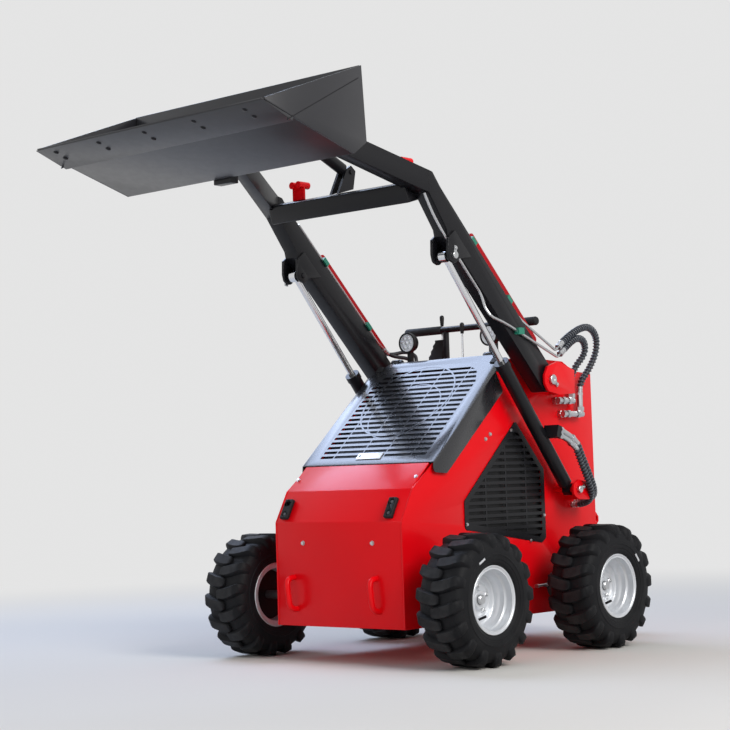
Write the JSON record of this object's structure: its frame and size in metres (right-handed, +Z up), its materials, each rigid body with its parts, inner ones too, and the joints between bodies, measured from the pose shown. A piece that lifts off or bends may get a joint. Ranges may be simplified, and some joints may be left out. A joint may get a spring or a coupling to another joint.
{
  "type": "compact skid steer loader",
  "caption": "Compact stand-on skid steer loader with raised lift arms, tilting bucket, hinged hood, folding platform and lugged tyres.",
  "frame": {"origin": "on the ground under the middle of the machine's box", "axes": "+Z up, bucket towards -Y, the machine's left towards +X"},
  "size_m": [1.2228, 2.308, 2.0019],
  "materials": {
    "red_paint": "gloss powder coat",
    "black_paint": "semi-gloss powder coat",
    "machined_steel": "machined",
    "chrome_rod": "polished",
    "rim_zinc": "zinc, satin",
    "tyre_rubber": "matt",
    "soft_rubber": "matt",
    "engine_iron": "cast",
    "tank_plastic": "moulded",
    "edge_steel": "painted wear steel",
    "hose_rubber": "woven cover",
    "clamp_plastic": "moulded"
  },
  "bodies": {
    "chassis": {"side_plates": "red_paint", "side_grilles": "black_paint", "nose_cover": "red_paint", "belly_plate": "red_paint", "tail_plate": "red_paint", "console_deck": "red_paint", "engine_block": "engine_iron", "hydraulic_tank": "tank_plastic", "pivot_brackets": "red_paint", "ram_foot_brackets": "red_paint", "wheel_motors": "engine_iron", "platform_hinges": "black_paint", "hood_hinges": "black_paint", "work_lamps": "tank_plastic", "hand_rail": "black_paint", "stop_pads": "soft_rubber", "grab_handles": "red_paint", "tie_down_lugs": "red_paint", "oil_cooler": "engine_iron", "control_levers": "tank_plastic", "hose_fittings": "machined_steel", "loop_hose_rear": "hose_rubber", "loop_hose_front": "hose_rubber", "inner_hose_front": "hose_rubber", "inner_hose_rear": "hose_rubber", "ram_hose_left_front": "hose_rubber", "ram_hose_left_rear": "hose_rubber", "ram_hose_right_front": "hose_rubber", "ram_hose_right_rear": "hose_rubber"},
    "hood": {"hood_shell": "black_paint", "hood_grille": "black_paint"},
    "lift_arm": {"lift_arms": "black_paint", "rod_ears": "black_paint", "goosenecks": "black_paint", "crosstube": "black_paint", "tilt_bracket": "black_paint", "lock_bars": "red_paint", "arm_tubes": "machined_steel", "tube_clamps": "clamp_plastic", "quick_couplers": "red_paint"},
    "bucket": {"hitch_plate": "black_paint", "bucket_shell": "black_paint", "bucket_sides": "black_paint", "bucket_cutting_edge": "edge_steel"},
    "lift_barrel_left": {"lift_ram_left_barrel": "black_paint"},
    "lift_rod_left": {"lift_ram_left_rod": "chrome_rod"},
    "lift_barrel_right": {"lift_ram_right_barrel": "black_paint"},
    "lift_rod_right": {"lift_ram_right_rod": "chrome_rod"},
    "tilt_barrel": {"tilt_ram_barrel": "black_paint"},
    "tilt_rod": {"tilt_ram_rod": "chrome_rod"},
    "platform": {"operator_platform": "black_paint"},
    "wheel_front_left": {"tyre_front_left": "tyre_rubber", "rim_front_left": "rim_zinc"},
    "wheel_front_right": {"tyre_front_right": "tyre_rubber", "rim_front_right": "rim_zinc"},
    "wheel_rear_left": {"tyre_rear_left": "tyre_rubber", "rim_rear_left": "rim_zinc"},
    "wheel_rear_right": {"tyre_rear_right": "tyre_rubber", "rim_rear_right": "rim_zinc"}
  },
  "joints": [
    {"name": "lift", "type": "hinge", "parent": "chassis", "child": "lift_arm", "pos_m": [0, 0.49, 1.008], "axis": [-1, 0, 0], "range_deg": [-75, 0], "deforming": ["loop_hose_rear", "loop_hose_front", "inner_hose_front", "inner_hose_rear"]},
    {"name": "tilt", "type": "hinge", "parent": "lift_arm", "child": "bucket", "pos_m": [0, -0.554, 1.84], "axis": [-1, 0, 0], "range_deg": [-50, 68]},
    {"name": "hood_open", "type": "hinge", "parent": "chassis", "child": "hood", "pos_m": [0, 0.358, 1.112], "axis": [-1, 0, 0], "range_deg": [0, 50]},
    {"name": "platform_fold", "type": "hinge", "parent": "chassis", "child": "platform", "pos_m": [0, 0.928, 0.262], "axis": [1, 0, 0], "range_deg": [0, 85]},
    {"name": "lift_swing_left", "type": "hinge", "parent": "chassis", "child": "lift_barrel_left", "pos_m": [0.37, 0.64, 0.592], "axis": [-1, 0, 0], "range_deg": [-55, 1], "deforming": ["ram_hose_left_front", "ram_hose_left_rear"]},
    {"name": "lift_slide_left", "type": "slide", "parent": "lift_barrel_left", "child": "lift_rod_left", "axis": [0, -0.6388, 0.7694], "range_m": [-0.36, 0.002]},
    {"name": "lift_swing_right", "type": "hinge", "parent": "chassis", "child": "lift_barrel_right", "pos_m": [-0.37, 0.64, 0.592], "axis": [-1, 0, 0], "range_deg": [-55, 1], "deforming": ["ram_hose_right_front", "ram_hose_right_rear"]},
    {"name": "lift_slide_right", "type": "slide", "parent": "lift_barrel_right", "child": "lift_rod_right", "axis": [0, -0.6388, 0.7694], "range_m": [-0.36, 0.002]},
    {"name": "tilt_swing", "type": "hinge", "parent": "lift_arm", "child": "tilt_barrel", "pos_m": [0, -0.164, 1.78], "axis": [-1, 0, 0], "range_deg": [-4, 5]},
    {"name": "tilt_slide", "type": "slide", "parent": "tilt_barrel", "child": "tilt_rod", "axis": [0, -0.9167, 0.3996], "range_m": [-0.115, 0.085]},
    {"name": "roll_front_left", "type": "hinge", "parent": "chassis", "child": "wheel_front_left", "pos_m": [0.517, -0.142, 0.2305], "axis": [1, 0, 0], "continuous": true},
    {"name": "roll_front_right", "type": "hinge", "parent": "chassis", "child": "wheel_front_right", "pos_m": [-0.517, -0.142, 0.2305], "axis": [1, 0, 0], "continuous": true},
    {"name": "roll_rear_left", "type": "hinge", "parent": "chassis", "child": "wheel_rear_left", "pos_m": [0.517, 0.614, 0.2305], "axis": [1, 0, 0], "continuous": true},
    {"name": "roll_rear_right", "type": "hinge", "parent": "chassis", "child": "wheel_rear_right", "pos_m": [-0.517, 0.614, 0.2305], "axis": [1, 0, 0], "continuous": true}
  ],
  "couplings": [
    {"joint": "lift_swing_left", "follows": "lift", "ratio": 0.69268},
    {"joint": "lift_slide_left", "follows": "lift", "m_per_rad": 0.26925},
    {"joint": "lift_swing_right", "follows": "lift", "ratio": 0.69268},
    {"joint": "lift_slide_right", "follows": "lift", "m_per_rad": 0.26925},
    {"joint": "tilt_swing", "follows": "tilt", "ratio": 0.06286},
    {"joint": "tilt_slide", "follows": "tilt", "m_per_rad": -0.09435}
  ]
}
